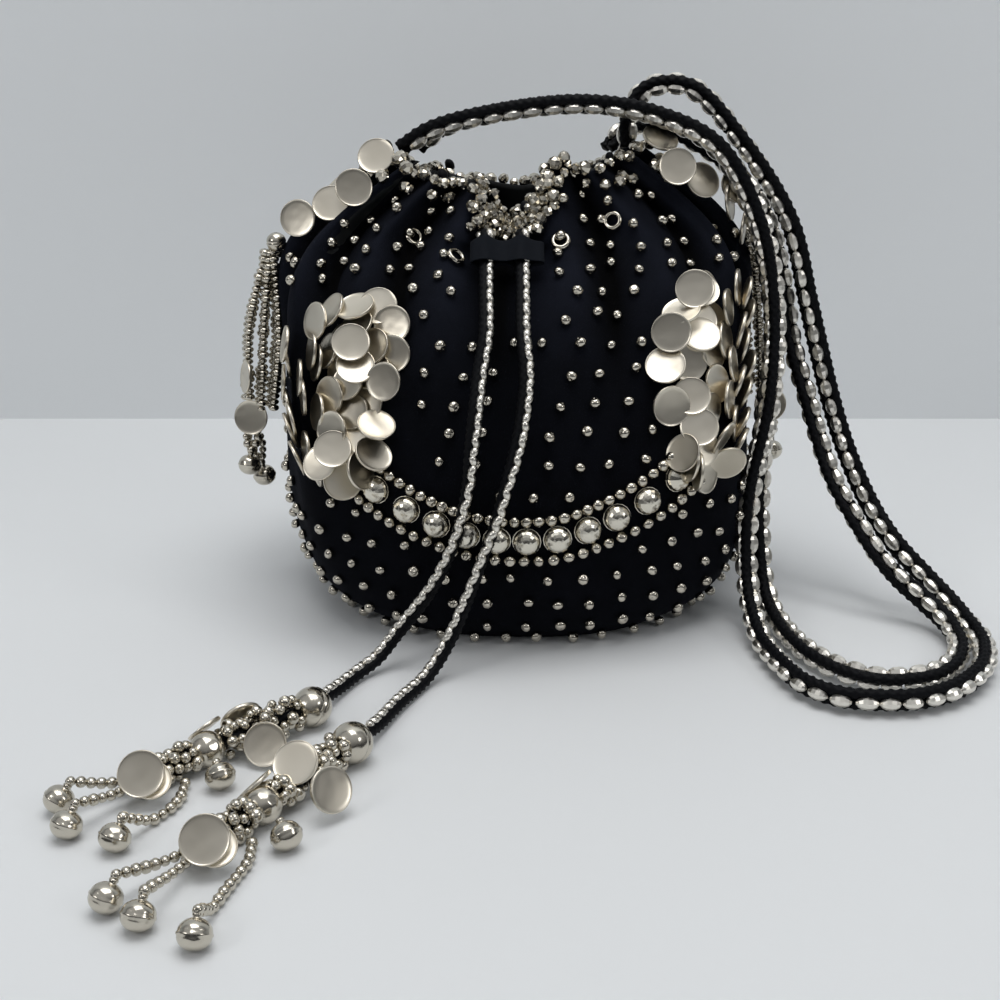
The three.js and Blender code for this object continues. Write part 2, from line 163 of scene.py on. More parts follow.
def run(points, step, floor):
    """Places every step along a smooth line through the points, none lower than floor.

    Each span is a cubic, and its end slopes weigh the neighbours by the square root of their
    distance (centripetal Catmull-Rom).
    """
    p = np.asarray(points, float)
    p = np.vstack([2 * p[0] - p[1], p, 2 * p[-1] - p[-2]])
    gap = np.sqrt(np.linalg.norm(np.diff(p, axis=0), axis=1))
    t = np.linspace(0, 1, 40, endpoint=False)[:, None]
    line = []
    for i in range(1, len(p) - 2):
        a, b, c = gap[i - 1], gap[i], gap[i + 1]
        start = ((p[i] - p[i - 1]) / a - (p[i + 1] - p[i - 1]) / (a + b) + (p[i + 1] - p[i]) / b) * b
        end = ((p[i + 1] - p[i]) / b - (p[i + 2] - p[i]) / (b + c) + (p[i + 2] - p[i + 1]) / c) * b
        cubic = (2 * t ** 3 - 3 * t ** 2 + 1) * p[i] + (t ** 3 - 2 * t ** 2 + t) * start
        line.append(cubic + (3 * t ** 2 - 2 * t ** 3) * p[i + 1] + (t ** 3 - t ** 2) * end)
    line = np.vstack(line + [p[-2:-1]])
    line[:, 2] = np.maximum(line[:, 2], floor)
    s = distances(line)
    at = np.linspace(0, s[-1], max(2, int(round(s[-1] / step)) + 1))
    return np.stack([np.interp(at, s, line[:, k]) for k in range(3)], axis=1), at


def axes_along(path):
    """Way along a path, the way sideways, and the way towards the viewing place square to it."""
    along = np.gradient(path, axis=0)
    along /= np.linalg.norm(along, axis=1)[:, None]
    side = np.cross(along, VIEWING_PLACE - path)
    side /= np.linalg.norm(side, axis=1)[:, None]
    return along, side, np.cross(side, along)


def grid_faces(rows, columns, start=0):
    """Four-cornered faces of rows of corners that close round on themselves."""
    i, j = np.meshgrid(np.arange(rows - 1), np.arange(columns), indexing="ij")
    k = (j + 1) % columns
    low, high = i * columns, (i + 1) * columns
    quads = np.stack([low + j, low + k, high + k, high + j], -1)
    return (quads.reshape(-1, 4) + start).tolist()


def braided(path, at, side, front, radius, sides=16, lay=0.0033):
    """A braided cord along a path: a round tube whose radius swells over two crossing spirals.

    The swelling is the sum of two rectified sines of twice the angle plus and minus the
    distance along, which gives the lumps of a braid.
    """
    turn = np.arange(sides) / sides * 2 * np.pi
    k = np.pi / lay
    round_by, along_by = 2 * turn[None], k * at[:, None]
    swell = np.abs(np.sin(round_by + along_by)) + np.abs(np.sin(round_by - along_by))
    r = radius * (0.66 + 0.27 * swell)[..., None]
    ring = np.cos(turn)[None, :, None] * front[:, None] + np.sin(turn)[None, :, None] * side[:, None]
    verts = (path[:, None] + r * ring).reshape(-1, 3)
    last = (len(path) - 1) * sides
    faces = grid_faces(len(path), sides)
    faces += [list(range(sides))[::-1], list(range(last, last + sides))]
    return verts, faces


def turned(profile, segments):
    """A profile of (radius, height) turned about Z; a radius of 0 is a single corner."""
    verts, rings = [], []
    for r, z in profile:
        if r == 0:
            rings.append([len(verts)] * segments)
            verts.append((0, 0, z))
        else:
            rings.append(list(range(len(verts), len(verts) + segments)))
            turns = [2 * math.pi * j / segments for j in range(segments)]
            verts += [(r * math.cos(a), r * math.sin(a), z) for a in turns]
    faces = []
    for low, high in zip(rings, rings[1:]):
        for j in range(segments):
            k = (j + 1) % segments
            faces.append(list(dict.fromkeys([low[j], low[k], high[k], high[j]])))
    return np.array(verts, float), faces


def stood(axis, hint=(0.0, 0.0, 1.0)):
    """The turn that carries Z onto an axis, with X as near as can be to square with a hint."""
    z = np.asarray(axis, float)
    z = z / np.linalg.norm(z)
    x = np.cross(hint, z)
    if np.linalg.norm(x) < 1e-3:
        x = np.cross((0.0, 1.0, 0.0), z)
    x = x / np.linalg.norm(x)
    return np.stack([x, np.cross(z, x), z], axis=1)


def copies(shape, spots):
    """One mesh of many copies of a shape, one at each (place, axis, size)."""
    verts, faces = shape
    out, every = [], []
    for n, (place, axis, size) in enumerate(spots):
        out.append(verts @ stood(axis).T * size + np.asarray(place))
        every += [[i + n * len(verts) for i in face] for face in faces]
    return np.vstack(out), every


def bead_shape(radius, half, segments=10, steps=7, hole=0.22):
    """A bead with its thread hole along Z: an oval whose ends stop at the hole's width."""
    end = math.acos(hole)
    turns = [end * (2 * i / steps - 1) for i in range(steps + 1)]
    wall = [(radius * math.cos(a), half * math.sin(a) / math.sin(end)) for a in turns]
    dimple = 0.55 * half
    return turned([(0, -dimple)] + wall + [(0, dimple)], segments)


black_braid = finish_of("black braided cotton", "#05060a", Roughness=0.6, Specular_IOR_Level=0.13)
plated = finish_of("plated white metal", "#cac4b7", Metallic=1.0, Roughness=0.18)
tree = plated.node_tree
dented(tree, 260.0, 1.0, 0.5, 0.0007)

hammered = finish_of("hammered white metal", "#e6e2d9", Metallic=1.0, Roughness=0.3)
for name, points in STRAP_ROUTES.items():
    path, at = run(points, 0.0006, STRAP_FLOOR)
    along, side, front = axes_along(path)
    share, degrees = np.array(STRAP_TWISTS[name], float).T
    twist = np.radians(np.interp(at / at[-1], share, degrees))[:, None]
    cord_way = np.cos(twist) * front + np.sin(twist) * side
    bead_way = np.cos(twist) * side - np.sin(twist) * front
    verts, faces = braided(path + STRAP_CORD_APART * cord_way, at, side, front, STRAP_CORD_RADIUS)
    other = braided(path - STRAP_CORD_APART * cord_way, at + 0.0011, side, front, STRAP_CORD_RADIUS)[0]
    faces += [[i + len(verts) for i in face] for face in faces]
    rope = solid(f"strap_{name}_cords", np.vstack([verts, other]), faces, black_braid)
    spots = []
    for sign, first in ((-1, 0.19 * at[-1]), (1, 0.0075)):
        for place in np.arange(first, at[-1] - 0.003, STRAP_BEAD_PITCH):
            i = int(round(place / at[1]))
            centre = path[i] + sign * STRAP_BEAD_OUT * bead_way[i]
            spots.append((centre, along[i], rng.uniform(0.95, 1.03)))
    bead = bead_shape(STRAP_BEAD_RADIUS, STRAP_BEAD_LONG / 2, 9, 6)
    beads = solid(f"strap_{name}_beads", *copies(bead, spots), hammered, smooth=False)
    for piece, slot in ((rope, "braid"), (beads, "silver")):
        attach(piece, "bag")
    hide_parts(f"strap_{name}")

# Drawstring ends: black braided cord with a strand of small cut metal grains sewn zigzag
# along one side. They leave the gathered neck, pass through the cloth slider, hang down
# the front and run on over the floor into the tassels as their core.
DRAW_ROUTES = {
    "left": [
        (-0.0115, -0.0243, 0.1406), (-0.0113, -0.0286, 0.1419), (-0.0113, -0.0365, 0.1365),
        (-0.0113, -0.04933, 0.12535), (-0.0113, -0.06292, 0.11354), (-0.0132, -0.0705, 0.103),
        (-0.0146, -0.0775, 0.092), (-0.016, -0.082, 0.079), (-0.017, -0.084, 0.066),
        (-0.02, -0.085, 0.052), (-0.024, -0.0845, 0.04), (-0.0305, -0.084, 0.027),
        (-0.042, -0.086, 0.012), (-0.048, -0.09, 0.0055), (-0.054, -0.096, 0.003),
        (-0.06, -0.108, 0.0032), (-0.0636, -0.118, 0.005),
    ],
    "right": [
        (0.0015, -0.0243, 0.1406), (0.0013, -0.0286, 0.1419), (0.0013, -0.0365, 0.1365),
        (0.0013, -0.04933, 0.12535), (0.0013, -0.06292, 0.11354), (0.0023, -0.0715, 0.102),
        (0.001, -0.0785, 0.089), (-0.0015, -0.083, 0.077), (-0.0045, -0.0855, 0.066),
        (-0.007, -0.0865, 0.056), (-0.0125, -0.0875, 0.04), (-0.017, -0.0885, 0.027),
        (-0.0215, -0.091, 0.016), (-0.0265, -0.095, 0.0075), (-0.031, -0.101, 0.0032),
        (-0.0387, -0.117, 0.003), (-0.044, -0.131, 0.0034), (-0.0474, -0.14, 0.005),
    ],
}
TASSEL_CORES = {
    "left": [(-0.0661, -0.126, 0.0067), (-0.0945, -0.1505, 0.0058), (-0.108, -0.1625, 0.0036)],
    "right": [(-0.0509, -0.1483, 0.0067), (-0.0725, -0.1805, 0.0058), (-0.0845, -0.194, 0.0036)],
}
DRAW_RADIUS = 0.0018
GRAIN_RADIUS = 0.0015
GRAIN_LONG = 0.0043
GRAIN_PITCH = 0.0029
GRAIN_OUT = 0.0020

draw_parts = {}
for hand, points in DRAW_ROUTES.items():
    path, at = run(points + TASSEL_CORES[hand], 0.0005, DRAW_RADIUS + 0.0003)
    along, side, front = axes_along(path)
    braid = braided(path, at, side, front, DRAW_RADIUS, 12, 0.0027)
    cord = solid(f"drawstring_{hand}_cord", *braid, black_braid)
    ends = np.linalg.norm(path - np.array(points[-1]), axis=1).argmin()
    spots = []
    for n, place in enumerate(np.arange(0.003, at[ends] - 0.002, GRAIN_PITCH)):
        i = int(round(place / at[1]))
        turn = math.pi * (0.85 - 0.75 * min(1, max(0, (place / at[ends] - 0.4) / 0.35)))
        out = math.cos(turn) * side[i] + math.sin(turn) * front[i]
        lean = along[i] + (0.55 if n % 2 else -0.55) * np.cross(out, along[i])
        spots.append((path[i] + GRAIN_OUT * out, lean, 1.0))
    grain = bead_shape(GRAIN_RADIUS, GRAIN_LONG / 2, 6, 5)
    strand = solid(f"drawstring_{hand}_grains", *copies(grain, spots), hammered)
    for piece, slot in ((cord, "braid"), (strand, "silver")):
        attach(piece, "bag")
    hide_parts(f"drawstring_{hand}")
    draw_parts[hand] = {"cord": cord, "path": path, "at": at, "exit": points[0], "on": [strand]}

# Velvet pouch: short pile cotton velvet, sewn round with a flat base and gathered by the
# drawstring into deep pleats under an open mouth. It is filled out, so the sides stand. Its
# colour has painted shade in the pleat valleys and painted light on the ridges.
POUCH_LEVELS = np.array([
    (0, 64, 62), (4, 72, 68), (9, 78, 71.5), (16, 82.5, 74.5), (28, 86.5, 77.5), (45, 89, 78.5),
    (62, 89.5, 78), (80, 89, 74), (95, 88.5, 67), (110, 87.5, 57), (118, 86.5, 50), (126, 84.5, 41),
    (135, 80, 30), (142, 74, 23), (150, 64, 19), (157, 54, 16.5), (164, 43, 15),
]) / 1000
POUCH_RIM = np.array([
    (-180, 166), (-150, 163), (-135, 159), (-124, 158.5), (-113, 157), (-105, 154.5), (-98, 146),
    (-92, 140), (-87, 144.5), (-82, 155), (-77, 165), (-73, 168), (-66, 164), (-55, 162), (-40, 165.5),
    (-20, 168.5), (0, 170), (35, 165), (60, 159), (90, 154), (120, 158), (150, 162), (180, 166),
]) / (1, 1000)
SECTION_POWER = 2.3
GATHER_Z = 0.126
TOP_Z = 0.164
PLEAT_DEEP = 0.0064
VELVET_THICK = 0.0018


def ramp(low, high, x):
    """Smooth step: 0 below low, 1 above high, 3t^2 - 2t^3 between."""
    t = np.clip((x - low) / (high - low), 0, 1)
    return t * t * (3 - 2 * t)


def smoothed(values, width):
    """Values blurred by a bell of that width in samples, with the ends carried on."""
    reach = int(3 * width)
    bell = np.exp(-0.5 * (np.arange(-reach, reach + 1) / width) ** 2)
    head = 2 * values[0] - values[reach:0:-1]
    tail = 2 * values[-1] - values[-2:-reach - 2:-1]
    return np.convolve(np.concatenate([head, values, tail]), bell / bell.sum(), "valid")


fine_z = np.linspace(0, TOP_Z, 329)
fine_wide = smoothed(np.interp(fine_z, POUCH_LEVELS[:, 0], POUCH_LEVELS[:, 1]), 7)
fine_deep = smoothed(np.interp(fine_z, POUCH_LEVELS[:, 0], POUCH_LEVELS[:, 2]), 7)
fine_turn = np.linspace(-180, 180, 721)
rim_loop = np.interp(fine_turn[:-1], POUCH_RIM[:, 0], POUCH_RIM[:, 1])
fine_rim = smoothed(np.concatenate([rim_loop[-60:], rim_loop, rim_loop[:61]]), 5)[60:-60]


def folds(turn, h):
    """Height of the pleats round the neck, from about -1 in a valley to 1.2 on a ridge.

    Rectified sines of seven times the turn, broad at the ridge and sharp in the valley, with
    two finer waves for creases. They fade out over the belly and a little towards the rim.
    """
    off = turn + np.pi / 2
    half = 7 * (off + 0.06) + 0.5 * np.sin(2 * off + 0.6) - 0.28
    waves = (2 * np.sqrt(np.sin(half) ** 2 + 0.012) - 1) * (1 + 0.25 * np.sin(3 * off + 1.0))
    waves = waves + 0.16 * np.sin(17 * off + 1.3) + 0.14 * np.sin(31 * off + 0.4 + 60 * h)
    return waves * ramp(0.086, 0.138, h) * (1 - 0.35 * ramp(0.146, TOP_Z, h))


def wall(turn, h, inset=0.0):
    """Places on the pouch wall at a turn round it and a height along it.

    The section is a squared oval. Above the gather the height is stretched or squeezed to
    meet the uneven rim. The pleats move the cloth in and out and leave the slider's way
    flat. Slow waves round the sides stand for the sag of the filled cloth.
    """
    turn, h = np.broadcast_arrays(np.asarray(turn, float), np.asarray(h, float))
    wide = np.interp(h, fine_z, fine_wide) - inset
    deep = np.interp(h, fine_z, fine_deep) - inset
    c, s = np.cos(turn), np.sin(turn)
    x = wide * np.sign(c) * np.abs(c) ** (2 / SECTION_POWER)
    y = deep * np.sign(s) * np.abs(s) ** (2 / SECTION_POWER)
    around = np.degrees((turn + np.pi) % (2 * np.pi) - np.pi)
    rim = np.interp(around, fine_turn, fine_rim)
    gathered = GATHER_Z + (h - GATHER_Z) * (rim - GATHER_Z) / (TOP_Z - GATHER_Z)
    z = np.where(h > GATHER_Z, gathered, h)
    nx, ny = c / wide, s / deep
    length = np.hypot(nx, ny)
    off = turn + np.pi / 2
    sag = 0.0013 * np.sin(7 * off + 1.0 + 14 * h) * np.sin(np.pi * h / TOP_Z)
    sag += 0.0007 * np.sin(13 * off + 25 * h) * ramp(0.01, 0.04, h)
    way = np.exp(-((x + 0.0035) / 0.0165) ** 4) * (s < 0) * (1 - ramp(0.139, 0.147, h))
    slump = 0.0045 * (1 - ramp(0.02, 0.075, h)) * np.clip(c, 0, 1)
    move = (PLEAT_DEEP * folds(turn, h) + sag) * (1 - way) - 0.0016 * way * ramp(0.110, 0.125, h)
    move = (move + slump) / length
    return np.stack([x + nx * move, y + ny * move, z + 0 * x], axis=-1)


def facing(turn, h):
    """The way the pouch wall faces there, square to small steps round it and up it."""
    across = wall(turn + 0.01, h) - wall(turn - 0.01, h)
    up = wall(turn, np.minimum(h + 0.0015, TOP_Z)) - wall(turn, h - 0.0015)
    out = np.cross(across, up)
    return out / np.linalg.norm(out, axis=-1)[..., None]


def shell(turns, rows, outer, inner, inner_rows):
    """A cup with a flat base: base rings, outer wall, rim, inner wall and inner base rings.

    Gives the corners, the faces, and the height of the pleats at each corner; the velvet paints shade and
    light from these heights.
    """
    turn = np.arange(turns) / turns * 2 * np.pi
    heights = np.linspace(0, TOP_Z, rows)
    low = np.linspace(0.06, 0.94, 8)
    rings = [wall(turn, 0.0, outer) * (k, k, 0) + (0, 0, 0.0004 + outer) for k in low]
    inner_heights = np.linspace(TOP_Z, 0, inner_rows)
    for h in heights:
        rings.append(wall(turn, h, outer) + (0, 0, (0.0004 + outer) * max(0, 1 - h / 0.02)))
    for h in inner_heights:
        rings.append(wall(turn, h, inner) + (0, 0, (0.0004 + inner) * max(0, 1 - h / 0.02)))
    levels = np.concatenate([0 * low, heights, inner_heights, 0 * low])
    rings += [wall(turn, 0.0, inner) * (k, k, 0) + (0, 0, 0.0004 + inner) for k in low[::-1]]
    faces = grid_faces(len(rings), turns)
    last = (len(rings) - 1) * turns
    faces += [list(range(turns))[::-1], list(range(last, last + turns))]
    return np.vstack(rings), faces, folds(turn[None], levels[:, None]).ravel()


velvet = finish_of(
    "black navy velvet", "#0b0d15", Roughness=0.95, Specular_IOR_Level=0.07, Sheen_Weight=0.07,
    Sheen_Roughness=0.4, Sheen_Tint=colour("#4a5372"),
)
tree = velvet.node_tree
cloth = tree.nodes["Principled BSDF"]
pile = noise_on(tree, 70.0, 4.0)
mixed = add_node(tree, "ShaderNodeMixRGB", {"Color1": colour("#050609"), "Color2": colour("#0e1017")},
                 {"Fac": pile.outputs["Fac"]})
# Painted shade and light: the pile colour is multiplied by the pleat height from the fold attribute, from
# 0.08 in the valleys up to 2.5 on the ridges.
fold = add_node(tree, "ShaderNodeAttribute", attribute_name="fold")
reach = {"From Min": -0.45, "From Max": 1.0, "To Min": 0.08, "To Max": 2.5}
painted_fold_shade = add_node(tree, "ShaderNodeMapRange", reach, {"Value": fold.outputs["Fac"]})
both = {"Color1": mixed.outputs["Color"], "Color2": painted_fold_shade.outputs["Result"]}
pile_with_painted_shade = add_node(tree, "ShaderNodeMixRGB", {"Fac": 1.0}, both, blend_type="MULTIPLY")
tree.links.new(pile_with_painted_shade.outputs["Color"], cloth.inputs["Base Color"])
dented(tree, 2200.0, 2.0, 0.35, 0.0005)
verts, faces, pleat = shell(360, 150, 0.0, VELVET_THICK, 40)
pouch = solid("pouch_velvet", verts, faces, velvet)
# The pleat heights are stored as the fold attribute, which paints the shade and light on the velvet.
pouch.data.attributes.new("fold", "FLOAT", "POINT").data.foreach_set("value", pleat)
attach(pouch, "bag")
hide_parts("velvet_pouch")

# Lining: plain black satin, a second bag that follows the velvet inside and is sewn to it
# along the rim.
LINING_OUTER = 0.0023
LINING_INNER = 0.0031
satin = finish_of("dark satin", "#0a0d0f", Roughness=0.6, Specular_IOR_Level=0.3)
lining = solid("pouch_satin_lining", *shell(180, 60, LINING_OUTER, LINING_INNER, 60)[:2], satin)
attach(lining, "bag")
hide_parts("pouch_lining")

# Rim edging: faceted metal beads sewn close along the mouth in two rows and massed in the
# notch at the front, with small knots of the black thread standing above them.
RIM_BEAD_RADIUS = 0.0024
RIM_BEAD_HALF = 0.0021
RIM_ROWS = ((0.0, 0.0044), (0.0042, 0.0052))
NOTCH_BEADS = 44
NOTCH_APART = 0.0030
turn = np.linspace(0, 2 * np.pi, 2401)
edge = wall(turn, TOP_Z)
edge_at = distances(edge)
spots, knots = [], []
for row, (drop, pitch) in enumerate(RIM_ROWS):
    count = int(edge_at[-1] / pitch)
    for n in range(count):
        a = np.interp((n + 0.5 * row + rng.uniform(-0.25, 0.25)) * edge_at[-1] / count, edge_at, turn)
        h = TOP_Z - drop - rng.uniform(0, 0.0018)
        place = wall(a, h) + 0.0014 * facing(a, TOP_Z - 0.004) + (0, 0, 0.0012 if row == 0 else 0)
        if row == 0 or rng.random() < 0.8:
            spots.append((place, rng.normal(size=3), rng.uniform(0.8, 1.15)))
        if row == 0 and n % 11 == 4:
            above = place + (0, 0, 0.0024) + rng.normal(size=3) * 0.0005
            knots.append((above, rng.normal(size=3), rng.uniform(0.8, 1.3)))
notch = []
while len(notch) < NOTCH_BEADS:
    a = math.radians(rng.uniform(-105, -79))
    h = TOP_Z - rng.uniform(0, 0.013)
    place = wall(a, h) + rng.uniform(0.0012, 0.0032) * facing(a, h)
    if len(notch) % 3 == 2:
        place = wall(a, TOP_Z) + (0, rng.uniform(0.001, 0.008), rng.uniform(0.001, 0.007))
    if all(np.linalg.norm(place - q) > NOTCH_APART for q in notch):
        notch.append(place)
        spots.append((place, rng.normal(size=3), rng.uniform(0.75, 1.15)))
rim_bead = bead_shape(RIM_BEAD_RADIUS, RIM_BEAD_HALF, 9, 4, 0.3)
rim_beads = solid("rim_beads", *copies(rim_bead, spots), plated, smooth=False)
rim_knots = solid("rim_thread_knots", *copies(bead_shape(0.0015, 0.0019, 8, 5), knots), black_braid)
for piece, slot in ((rim_beads, "silver"), (rim_knots, "braid")):
    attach(piece, "bag")

# Sewn beads: small round metal beads stitched one by one in staggered rows all over the
# velvet, left out under the disc clusters, the garland and the slider's way.
STUD_RADIUS = 0.0021
STUD_ROW = 0.0102
STUD_PITCH = 0.0118
STUD_LOWEST = 0.0034
SHOULDER_PLACES = [
    (-0.059, -0.012, 0.156), (-0.074, -0.010, 0.147), (0.060, -0.012, 0.162), (0.075, -0.008, 0.155),
]
GARLAND_MID_X = 0.0032
GARLAND_LOW_X = 0.0008
GARLAND_LOW_Z = 0.0449
GARLAND_BEND = 6.3


def garland_height(x):
    """Height of the garland's middle line: a parabola over the sideways place."""
    return GARLAND_LOW_Z + GARLAND_BEND * (x - GARLAND_LOW_X) ** 2


def in_cluster(place):
    """True for a place under one of the two disc clusters on the front sides."""
    x, y, z = place
    left = x < -0.036 and 0.052 < z < 0.124 and y < -0.008
    right = x > 0.046 and 0.060 < z < 0.130 and y < 0.004
    return left or right


lobe = wall(math.radians(-66), fine_z)
up_at = distances(lobe)
spots = []
for row, s in enumerate(np.arange(0.006, up_at[-1] - 0.006, STUD_ROW)):
    h = float(np.interp(s, up_at, fine_z))
    loop = wall(turn, h)
    loop_at = distances(loop)
    count = int(loop_at[-1] / STUD_PITCH)
    for n in range(count):
        a = np.interp(((n + 0.5 * (row % 2)) / count % 1) * loop_at[-1], loop_at, turn)
        a += rng.uniform(-1, 1) * 0.0012 / 0.08
        lift = max(h + rng.uniform(-0.0012, 0.0012), STUD_LOWEST)
        place = wall(a, lift)
        near = abs(place[2] - garland_height(place[0])) < 0.0125 and -0.056 < place[0] < 0.062
        path_of_slider = abs(place[0] + 0.0035) < 0.0175 and place[2] > 0.112
        shoulder = any(np.linalg.norm(place - np.array(q)) < 0.013 for q in SHOULDER_PLACES)
        if in_cluster(place) or shoulder or place[1] < 0 and (near or path_of_slider):
            continue
        place = place + 0.0012 * facing(a, lift)
        spots.append((place, rng.normal(size=3), rng.uniform(0.92, 1.08)))
studs = solid("sewn_beads", *copies(bead_shape(STUD_RADIUS, 0.0017, 10, 6), spots), plated)
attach(studs, "bag")

# Disc clusters: stamped white metal discs with a satin face, each stitched at its upper
# edge so that it hangs over the ones below, and a short row of them up each shoulder.
DISC_RADIUS = 0.0068
DISC_THICK = 0.0012
DISC_DISHED = 0.00025
DEEP_CUT = 0.62
satin_metal = finish_of("satin white metal", "#cfc9bb", Metallic=1.0, Roughness=0.29)
tree = satin_metal.node_tree
patch = noise_on(tree, 75.0, 1.0)
tone = add_node(tree, "ShaderNodeMixRGB", {"Color1": colour("#c6beae"), "Color2": colour("#f0e9da")},
                {"Fac": patch.outputs["Fac"]})
tree.links.new(tone.outputs["Color"], tree.nodes["Principled BSDF"].inputs["Base Color"])
dented(tree, 160.0, 1.0, 0.3, 0.0005)
dish = [(k, -DISC_DISHED * (1 - k * k)) for k in (0.9, 0.75, 0.6, 0.45, 0.3, 0.15, 0)]
disc_profile = [(DISC_RADIUS * k, z - DISC_THICK / 2) for k, z in dish[::-1]]
disc_edge = (0.95, -0.5), (0.99, -0.32), (1, 0), (0.995, 0.34), (0.975, 0.5), (0.955, 0.48), (0.935, 0.41)
for k, z in disc_edge:
    disc_profile.append((DISC_RADIUS * k, DISC_THICK * z))
disc_profile += [(DISC_RADIUS * k, z + DISC_THICK * 0.4) for k, z in dish]
disc_shape = turned(disc_profile, 32)
# Sideways place and height in mm, then the turn aside and the lean up in degrees.
CLUSTER_DISCS = {
    "left": [
        (-44.5, 111.5, -18, 18), (-43.5, 103.5, -12, 14), (-44.5, 94.5, -28, 16), (-53, 99.5, 5, 40),
        (-53.5, 106.5, 0, 30), (-52, 88.5, -28, 24), (-49, 118, -5, 34), (-63, 89, -44, 12),
        (-70.5, 109, -52, 15), (-57.5, 73.5, 0, 33), (-46.5, 82, 25, 58), (-47, 73, 40, 46),
        (-51, 67, 60, 20), (-58.5, 62, 15, 26), (-64, 67.5, -25, 34), (-56.5, 94.5, -40, 30),
        (-61.5, 115.5, -60, 35), (-54, 118, -30, 62), (-65.5, 103, -60, 25), (-59.5, 107, -50, 25),
        (-60.5, 97.5, -45, 15), (-65, 78, -50, 15), (-60.5, 78.5, -40, 12), (-73, 93, -78, 5),
        (-72, 87, -76, 0), (-71, 70, -72, 0), (-68.5, 64, -68, -15), (-69, 98, -70, 12),
        (-68, 83, -66, 8), (-71, 101, -72, 10), (-56, 85, -30, 27), (-54.5, 78, -10, 42),
        (-50, 106, -30, 30), (-54, 112, -45, 50), (-49, 98, -35, 40), (-75, 79, -74, -10),
        (-76, 104, -76, 12), (-79, 98, -78, -8), (-80, 90, -80, 5), (-79.5, 82, -80, -12),
        (-78, 74, -78, -20), (-74, 66, -74, -22),
    ],
    "right": [
        (54.5, 121, -10, 22), (50.5, 110, -10, 17), (60, 109, 5, 45), (67.5, 112, 33, 20),
        (61.5, 113.5, 20, 34), (60.5, 121.5, 20, 42), (66.5, 121, 47, 17), (53.5, 116.5, -35, 58),
        (49, 100.5, -15, 40), (51, 87.5, 20, 8), (58, 101, 20, 13), (68, 92.5, 48, 13),
        (58, 90, 0, 30), (59.5, 80, 0, 30), (64.5, 62.5, 45, 12), (54, 72.5, -45, 25),
        (56.5, 69, -75, 10), (58.5, 65.5, -85, 5), (70.5, 65.5, 10, -20), (68.5, 75, 60, -25),
        (74.5, 97.5, 72, 10), (76, 77, 76, 0), (72.5, 115, 70, 10), (67, 103, 50, 20),
        (65, 84, 50, 2), (62.5, 72.5, 20, 22), (71.5, 105.5, 66, 12), (72, 86.5, 70, 4),
        (78, 108, 80, -12), (78.5, 90, 82, -18), (77, 69, 76, -25), (80.5, 119, 86, -15),
        (83, 111, 92, -22), (82, 101, 86, -15), (84, 93, 94, -22), (82.5, 84, 88, -24),
        (80, 75, 84, -26), (76, 122, 74, 5),
    ],
}


def front_turn(x, h):
    """The turn on the front wall where the plain section reaches a sideways place."""
    wide = float(np.interp(h, fine_z, fine_wide))
    return -math.acos(math.copysign(min(1.0, abs(x) / wide) ** (SECTION_POWER / 2), x))


def cut_deep(place, way, spot, other):
    """True when two discs cut one another well inside the rim of either.

    Small steps are tried along the line that their planes share. Discs that face nearly the
    same way are cut when they overlap less than a thickness apart.
    """
    along = np.cross(way, other)
    if np.linalg.norm(along) < 0.12:
        apart = place - spot
        return np.linalg.norm(apart) < 1.9 * DISC_RADIUS and abs(apart @ way) < DISC_THICK
    along = along / np.linalg.norm(along)
    reaches = np.array([way @ place, other @ spot, along @ place])
    start = np.linalg.solve(np.array([way, other, along]), reaches)
    steps = start + np.linspace(-2, 2, 61)[:, None] * DISC_RADIUS * along
    first = np.linalg.norm(steps - place, axis=1) / DISC_RADIUS
    second = np.linalg.norm(steps - spot, axis=1) / DISC_RADIUS
    return bool(np.any((np.maximum(first, second) < 1) & (np.minimum(first, second) < DEEP_CUT)))


for hand, discs in CLUSTER_DISCS.items():
    stitched = []
    for x, h, aside, up in discs[::-1]:
        a = front_turn(x / 1000, h / 1000)
        place, out = wall(a, h / 1000), facing(a, h / 1000)
        aside, up = math.radians(aside), math.radians(up)
        level = math.cos(up)
        way = np.array([math.sin(aside) * level, -math.cos(aside) * level, math.sin(up)])
        lean = math.sqrt(max(0.0, 1 - (way @ out) ** 2))
        ahead = float(ramp(0.3, 0.8, -out[1]))
        least = 0.0010 + (0.3 + 0.5 * ahead) * DISC_RADIUS * lean
        lifts = np.arange(least, 0.0060 + 0.006 * ahead, 0.0004)
        cuts = [sum(cut_deep(place + out * k, way, *disc) for disc in stitched) for k in lifts]
        place = place + out * lifts[int(np.argmin(cuts))]
        stitched = [disc for disc in stitched if not cut_deep(place, way, *disc)] + [(place, way)]
    spots = [(place, way, rng.uniform(0.96, 1.04)) for place, way in stitched]
    cluster = solid(f"disc_cluster_{hand}", *copies(disc_shape, spots), satin_metal)
    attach(cluster, "bag")

SHOULDER_DISCS = [
    ((-0.0510, -0.0085, 0.1670), (-0.15, -0.85, 0.5)), ((-0.0587, -0.0155, 0.1566), (0.1, -0.95, 0.3)),
    ((-0.0676, -0.0130, 0.1507), (-0.1, -0.85, 0.5)), ((-0.0799, -0.0120, 0.1453), (-0.2, -0.95, 0.25)),
    ((-0.0640, -0.0040, 0.1570), (-0.5, -0.3, 0.8)), ((0.0577, -0.0150, 0.1639), (0.05, -0.93, 0.36)),
    ((0.0675, -0.0110, 0.1587), (0.35, -0.8, 0.45)), ((0.0523, -0.0050, 0.1730), (0.25, -0.5, 0.8)),
    ((0.0820, -0.0020, 0.1560), (0.3, -0.85, 0.35)), ((0.0790, -0.0045, 0.1500), (0.93, -0.33, 0.15)),
    ((0.0845, -0.0060, 0.1415), (0.95, -0.28, -0.1)),
]
spots = [(place, way, 1.0) for place, way in SHOULDER_DISCS]
shoulder_discs = solid("shoulder_discs", *copies(disc_shape, spots), satin_metal)
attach(shoulder_discs, "bag")

